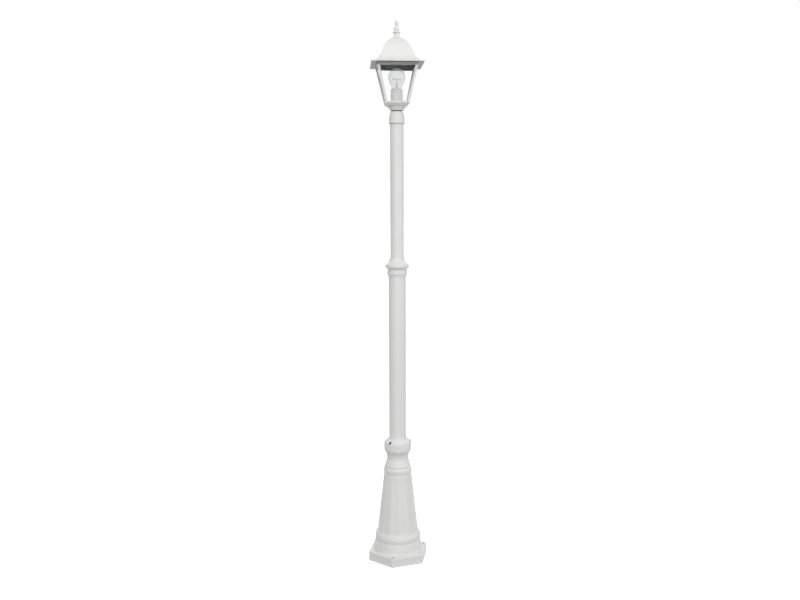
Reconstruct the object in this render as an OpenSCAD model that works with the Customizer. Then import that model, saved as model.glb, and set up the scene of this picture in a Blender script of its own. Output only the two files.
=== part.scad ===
// Garden lamp post: a square glass lantern on a two-stage tube over a fluted cast base.
// Millimetres, +Z up. The origin is the centre of the base where it stands on the ground.

/* [Plinth] */
// Across-flats width of the hexagonal plinth
plinth_w = 195; // [170:1:230]
// Height of the plinth
plinth_h = 33; // [16:1:40]
// Bevel along the top edge of the plinth
plinth_bevel = 3; // [1:0.5:6]
// Height of the thin tread around the foot of the plinth
tread_h = 5; // [3:0.5:8]
// How far the plinth's sides stand back from the tread
tread_step = 1.2; // [0.5:0.1:3]
// Turn of the hexagon from the lantern's square
plinth_turn = 17; // [0:1:30]
// Rounding circle of the corners, as distance in from a sharp corner
corner_trim = 2.2; // [0.5:0.1:4]
// Distance of the anchor holes in from the plinth's sharp corners
anchor_in = 12.6; // [10:0.2:18]
// Diameter of an anchor hole
anchor_d = 9; // [6:0.5:11]
// Number of anchor holes, on every second corner
anchor_n = 3; // [3:3:6]
// Wall of the boss round an anchor hole
boss_wall = 5; // [3:0.5:6]

/* [Base casting] */
// Wall of the casting
cast_wall = 6; // [5:0.5:9]
// Radius of the foot where it stands on the plinth
foot_r = 85; // [82:0.5:91]
// Fillet where the foot meets the plinth
foot_fillet = 1.2; // [0.5:0.1:1.2]
// Height of the foot above the plinth
foot_h = 37.6; // [30:0.2:55]
// Radius at the top of the foot
foot_top_r = 80.4; // [76:0.2:84]
// Largest radius of the torus over the foot
torus_r = 81.4; // [78:0.2:86]
// Height of the torus moulding
torus_h = 27; // [26:1:44]
// Ledge on top of the torus, round the foot of the cone
torus_ledge = 4; // [0.5:0.1:6]
// Height of the fluted cone
cone_h = 213.4; // [140:0.2:320]
// Radius of the cone at its foot
cone_r = 72.8; // [68:0.2:76]
// Radius of the cone at its top
cone_top_r = 49; // [46:0.2:56]
// Height of the bead ring over the cone
ring_h = 27; // [20:0.5:34]
// Radius of the bead ring
ring_r = 50.3; // [49:0.1:58]
// Radius of the waist's flared foot, over the ring
waist_foot_r = 46.2; // [44:0.2:50]
// Height of the waist between the ring and the collar
waist_h = 54.6; // [46:0.2:90]
// Smallest radius of the waist
waist_r = 38.2; // [37:0.2:42]
// Height of the smallest radius above the foot of the waist
waist_low = 32; // [26:0.5:42]
// Height of the clamping collar
collar_h = 49.4; // [40:0.2:70]
// Radius of the clamping collar
collar_r = 48.3; // [46:0.2:56]
// Height of the fine line round the collar over its lower edge
collar_line = 14.5; // [12.5:0.5:20]
// Depth of that line
line_d = 0.7; // [0.4:0.1:1.5]
// Depth of the fine grooves between the mouldings
groove_d = 1.4; // [0.8:0.1:2.5]
// Width of the fine grooves
groove_w = 2.4; // [1.5:0.1:4]
// Diameter of the clamp screw holes in the collar
screw_hole_d = 8; // [5:0.5:10]
// Drop of the clamp screw holes below the top of the collar
screw_drop = 16.5; // [9:0.5:22]

/* [Flutes] */
// Number of flutes round the cone
flute_n = 12; // [8:1:16]
// Depth of a flute at the foot of the cone
flute_d = 1.8; // [1.5:0.1:4]
// Width of a flute at the foot of the cone
flute_w = 27; // [18:0.5:30]
// Depth of a flute at its top
flute_top_d = 1.3; // [1:0.1:3]
// Width of a flute at its top
flute_top_w = 18; // [12:0.5:20]
// Plain stretch of cone above the flutes
flute_margin = 13; // [3:0.5:20]
// Plain stretch of cone below the flutes
flute_foot = 2.5; // [2:0.5:20]

/* [Tubes] */
// Outer diameter of the lower tube
lower_d = 60; // [56:0.5:62]
// Length of the lower tube
lower_l = 720; // [400:5:1200]
// Outer diameter of the upper tube
upper_d = 46; // [38:0.5:48]
// Length of the upper tube
upper_l = 500; // [300:5:900]
// Wall of both tubes
tube_wall = 2; // [1.5:0.1:3]
// Radial clearance of a tube in its socket
tube_fit = 0.3; // [0.1:0.05:0.6]
// Depth of the lower tube's socket in the base casting
base_socket = 106; // [60:1:110]
// Ledge that the lower tube stands on, across the wall
seat_ledge = 5; // [3:0.5:8]
// Thickness of the seat under the lower tube
seat_t = 12; // [6:1:20]

/* [Middle collar] */
// Height of the middle collar
mid_h = 70; // [60:1:90]
// Radius of its wide band
mid_r = 41.4; // [39:0.2:46]
// Height of its wide band
mid_band_h = 7; // [4:0.5:10]
// Height of the cone over the wide band
mid_cone_h = 29; // [24:0.5:40]
// Radius of its second band
mid_low_r = 34.8; // [34:0.1:37]
// Wall of the collar at its two lips
mid_lip = 1.6; // [1:0.1:2.5]
// Depth of the lower tube in the collar
mid_socket = 40; // [30:1:44]
// Thickness of the web between the two tubes
mid_web = 6; // [4:0.5:10]

/* [Lantern fitter and neck] */
// Height of the fitter
fitter_h = 44.5; // [38:0.5:55]
// Largest radius of the fitter
fitter_r = 27; // [25.6:0.1:29]
// Radius of the fitter's top
fitter_top_r = 20.5; // [19:0.1:22.5]
// Depth of the upper tube in the fitter
fitter_socket = 20.5; // [12:0.5:22]
// Height of the neck
neck_h = 9.5; // [8:0.1:18]
// Radius of the neck's lower band
neck_r = 24.6; // [24:0.1:27]
// Radius of the neck's upper flange
neck_flange_r = 31.5; // [30:0.1:34]
// Radius of the cable way through the neck
cable_r = 6; // [4:0.5:8]

/* [Lantern] */
// Half the width of the tray
tray_half = 42.5; // [40:0.1:50]
// Height of the tray
tray_h = 19.5; // [14:0.1:22]
// Height of the tray's upright lip
tray_lip = 10; // [4:0.5:12]
// Half the width of the tray's flat underside
tray_under = 33; // [31:0.2:40]
// Width of the tray's rim
tray_rim = 7; // [6.2:0.1:9]
// Thickness of the tray's floor
tray_floor = 6.9; // [3:0.1:9]
// Height of the posts
post_h = 113; // [90:1:160]
// Outward lean of the posts
post_lean = 12.9; // [8:0.1:16]
// Thickness of a post's angle
post_t = 3; // [2:0.1:3.5]
// Width of a post's leg at its foot
post_leg = 8.5; // [7:0.5:12]
// Width of a post's leg at its top
post_leg_top = 9; // [9:0.5:16]
// Thickness of a glass pane
glass_t = 2.5; // [2:0.1:3]
// Clearance of a pane from its neighbours
glass_gap = 0.5; // [0.2:0.1:1.5]
// Thickness of the top frame
frame_t = 10.5; // [4:0.5:14]
// Stand-out of the top frame beyond the posts
frame_lip = 2; // [1:0.2:4]
// Half the width of the top frame's opening
frame_open = 60; // [40:0.5:64]

/* [Roof] */
// Half the width of the eave
eave_half = 89; // [84:0.5:98]
// Height of the eave's upright edge
eave_edge = 3.5; // [2.5:0.1:6]
// Slope of the roof at the eave
eave_slope = 8; // [4:1:20]
// Slope of the straight middle of the roof
roof_slope = 65; // [50:1:68]
// Slope of the crown at the finial
crown_slope = 26; // [25:1:48]
// Plan width of the flared skirt
flare_run = 31; // [20:0.5:32]
// Plan width of the straight middle
steep_run = 16; // [8:0.5:20]
// Plan width of the crown
crown_run = 27; // [24:0.2:32]
// Wall of the roof
roof_wall = 2.5; // [2:0.1:4]
// Half the width of the roof's open underside
roof_open = 65.5; // [62:0.5:72]

/* [Finial] */
// Height of the finial's seat
seat_h = 18; // [16:0.5:28]
// Radius of the seat's foot
seat_r = 14.5; // [12:0.1:14.8]
// Radius of the seat's neck
seat_neck_r = 9; // [7:0.1:11]
// Height of the spire over its seat
spire_h = 43.5; // [34:0.5:60]
// Radius of the spire's flange
flange_r = 13.4; // [12:0.1:17]
// Radius of the spire's belly
belly_r = 9.4; // [8:0.1:11]
// Radius of the bud on top
bud_r = 6.3; // [5:0.1:7.5]

/* [Lamp] */
// Diameter of the lampholder
holder_d = 41.6; // [38:0.2:46]
// Height of the lampholder
holder_h = 54; // [46:0.5:58]
// Radius of the lampholder's socket
holder_bore = 14.2; // [13.8:0.1:15]
// Depth of the lampholder's socket
holder_depth = 36; // [30:0.5:38]
// Thickness of the strap under the lampholder
strap_t = 2.2; // [1.5:0.1:3]
// Width of the strap
strap_w = 18; // [12:0.5:24]
// Length of the strap
strap_l = 66; // [50:1:74]
// Diameter of the bulb
bulb_d = 60; // [50:0.5:64]
// Length of the bulb with its cap
bulb_l = 106; // [98:0.5:110]
// Radius of the bulb's cap
cap_r = 13.2; // [13:0.05:13.4]
// Height of the bulb's cap
cap_h = 27; // [24:0.5:29]
// Wall of the bulb
bulb_wall = 0.9; // [0.6:0.1:1.5]

/* [Hidden] */
$fn = 96;
white = [0.9, 0.9, 0.9];
clear = [0.85, 0.92, 0.95, 0.35];
ceramic = [0.8, 0.8, 0.78];
metal = [0.75, 0.72, 0.6];

corners = ["front_right", "back_right", "back_left", "front_left"];
sides = ["front", "right", "back", "left"];

// Heights of the base casting's mouldings, from the ground up
foot_z = plinth_h;
torus_z = foot_z + foot_h;
cone_z = torus_z + torus_h;
ring_z = cone_z + cone_h;
waist_z = ring_z + ring_h;
collar_z = waist_z + waist_h;
base_top = collar_z + collar_h;

// Heights of the pieces above it
lower_r = lower_d / 2;
upper_r = upper_d / 2;
lower_z = base_top - base_socket;
mid_z = lower_z + lower_l - mid_socket;
upper_z = lower_z + lower_l + mid_web;
fitter_z = upper_z + upper_l - fitter_socket;
neck_z = fitter_z + fitter_h;
tray_z = neck_z + neck_h;
post_z = tray_z + tray_h;
frame_z = post_z + post_h;
roof_z = frame_z + frame_t;
floor_z = tray_z + tray_floor;
holder_z = floor_z + strap_t;
bulb_z = holder_z + holder_h - holder_depth;

// Half width of the lantern's sides at height z, measured on the faces of the posts
post_setback = 0.3;
post_foot = tray_half - post_setback;
function post_half(z) = post_foot + (z - post_z) * tan(post_lean);

// Points of an arc about centre c, from angle a0 to a1
function arc(c, r, a0, a1, n = 12) =
    [for (i = [0:n]) let (a = a0 + (a1 - a0) * i / n) c + r * [cos(a), sin(a)]];

// Radius of the arc that leaves a plumb line and stands in by dx after a rise of dz
function plumb_radius(dx, dz) = (dx * dx + dz * dz) / (2 * dx);

// Points of a cubic Bezier curve
function bezier(a, b, c, d, n = 12) =
    [for (i = [0:n]) let (t = i / n, s = 1 - t)
        s * s * s * a + 3 * s * s * t * b + 3 * s * t * t * c + t * t * t * d];

// A solid with n flat sides whose half width follows an outline of [half width, height] points
module sided(n, outline, reach) {
    mirrored = concat(outline, [for (i = [len(outline) - 1:-1:0]) [-outline[i][0], outline[i][1]]]);
    intersection_for (i = [0:n / 2 - 1])
        rotate(i * 360 / n)
            rotate([90, 0, 0])
                linear_extrude(height = reach, center = true)
                    polygon(mirrored);
}

// A solid turned from an outline of [radius, height] points that starts and ends on the axis
module turned(outline) {
    rotate_extrude()
        polygon(outline);
}

// A ring turned from an outline, with a round way of radius r through it
module turned_ring(outline, r) {
    low = outline[0][1];
    high = outline[len(outline) - 1][1];
    difference() {
        turned(concat([[0, low]], outline, [[0, high]]));
        translate([0, 0, low - 1])
            cylinder(h = high - low + 2, r = r);
    }
}

// ---- Base casting ----

// Radius of the circle that the anchor holes lie on, kept clear of the foot
anchor_r = max(plinth_w / 2 / cos(30) - anchor_in, foot_r + foot_fillet + anchor_d / 2 + 1);

// Outline of the foot and torus, from the plinth up to the cone
overlap = 2;
foot_plumb = 6;
foot_rise = foot_h - foot_plumb;
foot_arc_r = plumb_radius(foot_r - foot_top_r, foot_rise);
torus_belly = 10;
torus_rise = torus_h - torus_belly;
torus_arc_r = plumb_radius(torus_r - cone_r - torus_ledge, torus_rise);
lower_outline = concat(
    [[foot_r + foot_fillet, foot_z - overlap], [foot_r + foot_fillet, foot_z], [foot_r, foot_z + foot_fillet]],
    arc([foot_r - foot_arc_r, foot_z + foot_plumb], foot_arc_r,
        0, asin((foot_rise - groove_w / 2) / foot_arc_r), 10),
    [[foot_top_r - groove_d, torus_z]],
    arc([torus_r - torus_arc_r, torus_z + torus_belly], torus_arc_r,
        -asin((torus_belly - groove_w / 2) / torus_arc_r), asin(torus_rise / torus_arc_r), 16));

// Outline of the ring and waist: a bead, a groove, a flared foot and a slender throat
bead_r = 20;
bead_mid = 12;
bead_turn = 26;
bead_foot = 1.5;
throat_z = waist_z + waist_low;
throat_low_r = 45;
throat_turn = 19;
throat_rise = waist_h - waist_low;
throat_spread = 7.6;
throat_high_r = plumb_radius(throat_spread, throat_rise);
waist_outline = concat(
    [[ring_r - 2 * bead_foot, ring_z + bead_foot]],
    arc([ring_r - bead_r, ring_z + bead_mid], bead_r, -bead_turn, bead_turn, 12),
    [[waist_foot_r + groove_d / 2, waist_z - groove_w / 2], [waist_foot_r - groove_d, waist_z],
     [waist_foot_r, waist_z + groove_w / 2]],
    arc([waist_r + throat_low_r, throat_z], throat_low_r, 180 + throat_turn, 180, 6),
    arc([waist_r + throat_high_r, throat_z], throat_high_r, 174, 180 - asin(throat_rise / throat_high_r), 8));

// Outline of the clamping collar: a drawn-in foot, a fine line, a sloping shoulder and a lip round the tube
drum_r = 34;
drum_turn = 15;
drum_low = 11;
shoulder_r = 10;
shoulder_turn = 56;
shoulder_drop = 21;
lip_r = lower_r + tube_fit + 2;
lip_h = 4;
lip_flare = 1.5;
line_z = collar_z + collar_line;
collar_outline = concat(
    [[collar_r - 1.8, collar_z + 0.5]],
    arc([collar_r - drum_r, collar_z + drum_low], drum_r, -drum_turn, 0, 5),
    [[collar_r, line_z - groove_w / 2], [collar_r - line_d, line_z], [collar_r, line_z + groove_w / 2]],
    arc([collar_r - shoulder_r, base_top - shoulder_drop], shoulder_r, 0, shoulder_turn, 8),
    [[lip_r + lip_flare, base_top - lip_h - lip_flare], [lip_r, base_top - lip_h], [lip_r, base_top]]);

// Radius of the cutter that leaves a flute of width w and depth d
function flute_radius(w, d) = (w * w / 4 + d * d) / (2 * d);

// A point of the cone's side at height z, as [radius, height]
cone_slope = (cone_r - cone_top_r) / cone_h;
function cone_side(z) = [cone_r - cone_slope * (z - cone_z), z];

// A tapered cutter with a round top that leans with the cone, clipped just outside the cone's side
module flute_cutter() {
    low_r = flute_radius(flute_w, flute_d);
    high_r = flute_radius(flute_top_w, flute_top_d);
    low = cone_side(cone_z + flute_foot);
    high = cone_side(ring_z - flute_margin - flute_top_w / 2);
    side_l = norm(high - low);
    low_x = low_r - flute_d;
    high_x = high_r - flute_top_d;
    length = norm([low_x - high_x, side_l]);
    clip = 1.5;
    translate([low[0], 0, low[1]])
        rotate([0, -atan(cone_slope), 0])
            intersection() {
                translate([low_x, 0, 0])
                    rotate([0, -atan((low_x - high_x) / side_l), 0]) {
                        cylinder(h = length, r1 = low_r, r2 = high_r);
                        translate([0, 0, length])
                            sphere(r = high_r);
                    }
                translate([-3 * flute_d, -flute_w, -flute_w])
                    cube([3 * flute_d + clip, 2 * flute_w, side_l + 2 * flute_w]);
            }
}

// Outline of a hexagonal prism that stands in by step above its tread and is bevelled on top
module plinth() {
    half = plinth_w / 2;
    outline = [[half, 0], [half, tread_h], [half - tread_step, tread_h + tread_step],
               [half - tread_step, plinth_h - plinth_bevel], [half - tread_step - plinth_bevel, plinth_h]];
    rotate(plinth_turn - 30)
        intersection() {
            sided(6, outline, 3 * plinth_w);
            cylinder(h = plinth_h, r = half / cos(30) - corner_trim);
        }
}

module at_anchors() {
    for (i = [0:anchor_n - 1])
        rotate(plinth_turn + i * 360 / anchor_n)
            translate([anchor_r, 0, 0])
                children();
}

// The hollow that runs up the casting to the lower tube's seat
module base_hollow() {
    half = plinth_w / 2 - tread_step - cast_wall;
    inner_r = lower_r - seat_ledge;
    turned([[0, -1], [foot_r - cast_wall, -1], [foot_r - cast_wall, foot_z],
            [foot_top_r - groove_d - cast_wall, torus_z], [cone_r - cast_wall, cone_z],
            [cone_top_r - cast_wall, ring_z], [inner_r, lower_z - seat_t], [0, lower_z - seat_t]]);
    rotate(plinth_turn - 30)
        sided(6, [[half, -1], [half, plinth_h - cast_wall]], 3 * plinth_w);
    cylinder(h = lower_z + 1, r = inner_r);
}

module base_casting() {
    color(white)
        difference() {
            union() {
                difference() {
                    union() {
                        plinth();
                        turned(concat([[0, foot_z - overlap]], lower_outline,
                                      [cone_side(cone_z), cone_side(ring_z)],
                                      waist_outline, collar_outline, [[0, base_top]]));
                    }
                    base_hollow();
                }
                at_anchors()
                    cylinder(h = plinth_h - plinth_bevel, r = anchor_d / 2 + boss_wall);
            }
            translate([0, 0, lower_z])
                cylinder(h = base_socket + 1, r = lower_r + tube_fit);
            at_anchors()
                translate([0, 0, -1])
                    cylinder(h = plinth_h + foot_h, r = anchor_d / 2);
            for (i = [0:flute_n - 1])
                rotate(plinth_turn + i * 360 / flute_n)
                    flute_cutter();
            for (i = [0:anchor_n - 1])
                rotate(plinth_turn + 90 + i * 360 / anchor_n)
                    translate([lower_r - 3, 0, base_top - screw_drop])
                        rotate([0, 90, 0])
                            cylinder(h = collar_r, r = screw_hole_d / 2);
        }
}

// ---- Tubes and middle collar ----

module tube(z, r, length) {
    translate([0, 0, z])
        difference() {
            cylinder(h = length, r = r);
            translate([0, 0, -1])
                cylinder(h = length + 2, r = r - tube_wall);
        }
}

module lower_tube() {
    color(white)
        tube(lower_z, lower_r, lower_l);
}

module upper_tube() {
    color(white)
        tube(upper_z, upper_r, upper_l);
}

module middle_collar() {
    low_lip = lower_r + tube_fit + mid_lip;
    high_lip = upper_r + tube_fit + mid_lip;
    top = mid_z + mid_h;
    band_z = top - mid_cone_h - mid_band_h;
    cone_foot = band_z + mid_band_h;
    lip_h = 4;
    bead_r = 12;
    bead_mid = 13;
    cove_r = 4.5;
    outline = concat(
        [[low_lip, mid_z], [low_lip, mid_z + lip_h], [mid_low_r - 1, mid_z + 7]],
        arc([mid_low_r - bead_r, mid_z + bead_mid], bead_r, -26, 26, 8),
        arc([mid_low_r + cove_r - 1, band_z - 8.5], cove_r, 180, 95, 6),
        [[mid_r - 1, band_z - 1.5], [mid_r, band_z], [mid_r, cone_foot], [mid_r - 1.5, cone_foot + 2]],
        bezier([mid_r - 4.5, cone_foot + 4.5], [mid_r - 8, cone_foot + 9],
               [high_lip + 3, cone_foot + 7], [high_lip + 3.2, cone_foot + 15], 8),
        [[high_lip, top - lip_h - 1], [high_lip, top]]);
    color(white)
        difference() {
            turned_ring(outline, upper_r - tube_wall - 2);
            translate([0, 0, mid_z - 1])
                cylinder(h = mid_socket + 1, r = lower_r + tube_fit);
            translate([0, 0, upper_z])
                cylinder(h = mid_h, r = upper_r + tube_fit);
        }
}

// ---- Lantern fitter, neck and tray ----

module lantern_fitter() {
    top = fitter_z + fitter_h;
    hollow_r = fitter_top_r - 3;
    hollow_drop = 6;
    gap_h = 3;
    bead_h = 2.5;
    outline = concat(
        [[fitter_r - 1.4, fitter_z]],
        arc([fitter_r - 1, fitter_z + bead_h], 1, -60, 60, 6),
        bezier([fitter_r - 0.8, fitter_z + 8], [fitter_r - 0.5, fitter_z + 22], [fitter_r - 2.2, fitter_z + 30],
               [fitter_top_r + 1.6, top - gap_h - 1], 12),
        [[fitter_top_r + 0.6, top - gap_h], [fitter_top_r - 1, top - gap_h], [fitter_top_r - 1, top]]);
    color(white)
        difference() {
            turned_ring(outline, cable_r);
            translate([0, 0, fitter_z - 1])
                cylinder(h = fitter_socket + 1, r = upper_r + tube_fit);
            translate([0, 0, fitter_z])
                cylinder(h = fitter_h - hollow_drop, r = hollow_r);
        }
}

// A cup that flares from the fitter to the tray, with a fine step round its middle
module lantern_neck() {
    top = neck_z + neck_h;
    foot_r = fitter_top_r + 0.3;
    step_z = neck_z + 3.4;
    flare_z = top - 1.6;
    outline = concat(
        [[foot_r, neck_z], [neck_r - 2.6, neck_z + 0.8], [neck_r - 1.2, step_z - 0.8],
         [neck_r, step_z], [neck_r + 0.4, step_z + 0.8]],
        bezier([neck_r + 0.6, step_z + 1.4], [neck_r + 1.6, flare_z - 1], [neck_flange_r - 3.5, flare_z - 0.4],
               [neck_flange_r - 0.6, flare_z + 0.6], 8),
        [[neck_flange_r, flare_z + 1.1], [neck_flange_r, top]]);
    color(white)
        turned_ring(outline, cable_r);
}

module lantern_tray() {
    lip_z = tray_z + tray_h - tray_lip;
    outline = concat(
        [[tray_under, tray_z]],
        bezier([tray_under + 1.5, tray_z + 0.4], [tray_under + 6, tray_z + 1.6], [tray_half, lip_z - 5],
               [tray_half, lip_z], 10),
        [[tray_half, tray_z + tray_h]]);
    pocket = tray_half - tray_rim;
    color(white)
        difference() {
            sided(4, outline, 4 * tray_half);
            translate([-pocket, -pocket, floor_z])
                cube([2 * pocket, 2 * pocket, tray_h]);
            translate([0, 0, tray_z - 1])
                cylinder(h = tray_floor + 2, r = cable_r);
        }
}

// ---- Posts, panes and top frame ----

// The lantern's leaning body, shrunk square to its faces by inset, from height z0 to z1
module leaning_body(inset, z0, z1) {
    shift = inset / cos(post_lean);
    sided(4, [[post_half(z0) - shift, z0], [post_half(z1) - shift, z1]], 6 * tray_half);
}

// The trapezium between two legs, cut through the body along Y
module window(z0, z1) {
    function leg(z) = post_leg + (post_leg_top - post_leg) * (z - post_z) / post_h;
    low = post_half(z0) - leg(z0);
    high = post_half(z1) - leg(z1);
    rotate([90, 0, 0])
        linear_extrude(height = 6 * tray_half, center = true)
            polygon([[low, z0], [high, z1], [-high, z1], [-low, z0]]);
}

// One angle post, in the quarter turned i times from the front right
module post(i) {
    reach = 2 * tray_half;
    color(white)
        intersection() {
            difference() {
                leaning_body(0, post_z, frame_z);
                leaning_body(post_t, post_z - 1, frame_z + 1);
                window(post_z - 1, frame_z + 1);
                rotate(90)
                    window(post_z - 1, frame_z + 1);
            }
            rotate(i * 90)
                translate([0, -reach, post_z - 1])
                    cube([reach, reach, post_h + 2]);
        }
}

// One pane, behind the posts, on the side turned i times from the front
module pane(i) {
    shift = (post_t + glass_t) / cos(post_lean) + glass_gap;
    low = post_half(post_z) - shift;
    high = post_half(frame_z) - shift;
    color(clear)
        rotate(i * 90)
            intersection() {
                difference() {
                    leaning_body(post_t, post_z, frame_z);
                    leaning_body(post_t + glass_t, post_z - 1, frame_z + 1);
                }
                rotate([90, 0, 0])
                    linear_extrude(height = 3 * tray_half)
                        polygon([[low, post_z], [high, frame_z], [-high, frame_z], [-low, post_z]]);
            }
}

module top_frame() {
    half = post_half(frame_z) + frame_lip;
    color(white)
        difference() {
            sided(4, [[half - 1, frame_z], [half, frame_z + 1], [half, roof_z]], 6 * tray_half);
            translate([-frame_open, -frame_open, frame_z - 1])
                cube([2 * frame_open, 2 * frame_open, frame_t + 2]);
        }
}

// ---- Roof and finial ----

// Radii of the concave skirt and the convex crown, from their plan widths and end slopes
flare_arc_r = flare_run / (sin(roof_slope) - sin(eave_slope));
crown_arc_r = crown_run / (sin(roof_slope) - sin(crown_slope));
flare_h = flare_arc_r * (cos(eave_slope) - cos(roof_slope));
steep_h = steep_run * tan(roof_slope);
crown_h = crown_arc_r * (cos(crown_slope) - cos(roof_slope));
steep_x = eave_half - flare_run - steep_run;
steep_z = roof_z + eave_edge + flare_h + steep_h;
crown_half = steep_x - crown_run;
crown_z = steep_z + crown_h;

// The roof's ogee, moved inwards square to its surface by inset
function ogee(inset) = concat(
    arc([eave_half - flare_run + flare_arc_r * sin(roof_slope),
         roof_z + eave_edge + flare_arc_r * cos(eave_slope)],
        flare_arc_r + inset, -90 - eave_slope, -90 - roof_slope, 14),
    arc([steep_x - crown_arc_r * sin(roof_slope), steep_z - crown_arc_r * cos(roof_slope)],
        crown_arc_r - inset, 90 - roof_slope, 90 - crown_slope, 14));

module roof() {
    outer = concat([[eave_half, roof_z], [eave_half, roof_z + eave_edge]], ogee(0));
    inner = concat([[roof_open, roof_z - 1], [roof_open, roof_z + 2]],
                   [for (p = ogee(roof_wall)) if (p[0] < roof_open - 1) p]);
    color(white)
        difference() {
            sided(4, outer, 4 * eave_half);
            sided(4, inner, 4 * eave_half);
        }
}

module finial_seat() {
    outline = concat(
        [[0, crown_z], [seat_r, crown_z], [seat_r, crown_z + 1.5]],
        bezier([seat_r - 1, crown_z + 2.3], [seat_neck_r + 1.6, crown_z + 4.5], [seat_neck_r + 0.4, crown_z + 9],
               [seat_neck_r, crown_z + 13], 8),
        [[seat_neck_r, crown_z + seat_h - 3], [seat_neck_r + 1.6, crown_z + seat_h], [0, crown_z + seat_h]]);
    color(white)
        turned(outline);
}

module finial_spire() {
    z = crown_z + seat_h;
    top = z + spire_h;
    belly_h = (spire_h - 18) * 0.62;
    belly_z = z + 6.5;
    outline = concat(
        [[0, z], [flange_r - 1, z]],
        arc([flange_r - 2, z + 2], 2, -60, 60, 6),
        [[belly_r - 1, z + 5.5]],
        bezier([belly_r - 1, belly_z], [belly_r + 1.2, belly_z + belly_h * 0.35],
               [belly_r, belly_z + belly_h * 0.75], [bud_r - 1.2, belly_z + belly_h], 10),
        bezier([bud_r - 2, belly_z + belly_h + 2.5], [bud_r + 1.6, belly_z + belly_h + 6.5],
               [bud_r, top - 4], [1, top], 10),
        [[0, top]]);
    color(white)
        turned(outline);
}

// ---- Lamp ----

module holder_strap() {
    color(metal)
        translate([0, 0, floor_z])
            difference() {
                translate([-strap_l / 2, -strap_w / 2, 0])
                    cube([strap_l, strap_w, strap_t]);
                translate([0, 0, -1])
                    cylinder(h = strap_t + 2, r = cable_r);
            }
}

module lampholder() {
    r = holder_d / 2;
    top = holder_z + holder_h;
    color(ceramic)
        difference() {
            turned([[0, holder_z], [r - 2, holder_z], [r - 2, holder_z + 6], [r, holder_z + 8], [r, top - 1.5],
                    [r - 1.5, top], [0, top]]);
            translate([0, 0, bulb_z])
                cylinder(h = holder_depth + 1, r = holder_bore);
            translate([0, 0, top - 6])
                cylinder(h = 7, r = r - 2.6);
        }
}

bulb_r = bulb_d / 2;
bulb_mid = bulb_z + bulb_l - bulb_r;
cap_top = bulb_z + cap_h;
neck_turn = 24;

module bulb_cap() {
    color(metal)
        turned([[0, bulb_z], [4.5, bulb_z], [5.5, bulb_z + 1.5], [cap_r - 2, bulb_z + 5], [cap_r, bulb_z + 7],
                [cap_r, cap_top], [0, cap_top]]);
}

// Outline of the bulb from its cap to its crown, inset by its wall for the inside
function bulb_outline(inset) = concat(
    bezier([cap_r - inset, cap_top], [cap_r + 0.5 - inset, cap_top + 14], [bulb_r * 0.72 - inset, cap_top + 15],
           [(bulb_r - inset) * cos(neck_turn), bulb_mid - (bulb_r - inset) * sin(neck_turn)], 12),
    arc([0, bulb_mid], bulb_r - inset, -neck_turn + 5, 90, 20));

module bulb_glass() {
    outer = bulb_outline(0);
    inner = bulb_outline(bulb_wall);
    color(clear)
        rotate_extrude()
            polygon(concat(outer, [for (i = [len(inner) - 1:-1:0]) inner[i]]));
}

module bulb_stem() {
    color(clear)
        turned([[0, cap_top], [8, cap_top], [5, cap_top + 4], [3, cap_top + 12], [2.4, cap_top + 26],
                [1.2, cap_top + 30], [1, cap_top + 40], [2, cap_top + 42], [1.2, cap_top + 44],
                [0, cap_top + 44.4]]);
}

base_casting();
lower_tube();
middle_collar();
upper_tube();
lantern_fitter();
lantern_neck();
lantern_tray();
for (i = [0:3])
    post(i);
for (i = [0:3])
    pane(i);
top_frame();
roof();
finial_seat();
finial_spire();
holder_strap();
lampholder();
bulb_cap();
bulb_glass();
bulb_stem();
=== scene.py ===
import math

import bpy
import numpy as np
from mathutils import Euler, Matrix, Vector


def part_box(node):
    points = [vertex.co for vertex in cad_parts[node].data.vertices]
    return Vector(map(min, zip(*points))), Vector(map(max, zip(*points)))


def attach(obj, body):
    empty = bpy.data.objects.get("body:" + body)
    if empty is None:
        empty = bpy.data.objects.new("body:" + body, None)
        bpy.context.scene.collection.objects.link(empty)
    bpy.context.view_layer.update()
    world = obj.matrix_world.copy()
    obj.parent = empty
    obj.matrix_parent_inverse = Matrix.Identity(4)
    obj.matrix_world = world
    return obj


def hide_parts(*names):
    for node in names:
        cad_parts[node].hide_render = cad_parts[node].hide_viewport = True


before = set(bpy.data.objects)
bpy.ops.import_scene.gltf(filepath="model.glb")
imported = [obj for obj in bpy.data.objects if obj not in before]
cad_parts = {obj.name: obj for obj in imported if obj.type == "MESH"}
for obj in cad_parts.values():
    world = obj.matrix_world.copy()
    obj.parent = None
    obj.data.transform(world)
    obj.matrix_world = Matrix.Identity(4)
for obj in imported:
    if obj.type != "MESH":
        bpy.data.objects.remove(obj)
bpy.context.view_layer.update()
mm = 0.001
print("frame loaded,", len(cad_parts), "CAD nodes")


def placed(name, data):
    # A new object at the origin, in the scene
    made = bpy.data.objects.new(name, data)
    bpy.context.scene.collection.objects.link(made)
    return made


# The camera stands where the lantern and the post's foot are both in view

cameraView = {
    "azimuth": -93.3,  # where it stands round the post, in degrees from +X
    "distance": 2.9665,  # from the post's axis
    "height": 1.265,
    "pitch": 6.377,  # down from level
    "aside": 0.185,  # turn to the right of the axis
    "roll": -0.14,  # turn about the line of sight
    "lens": 38.25,
}


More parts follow.
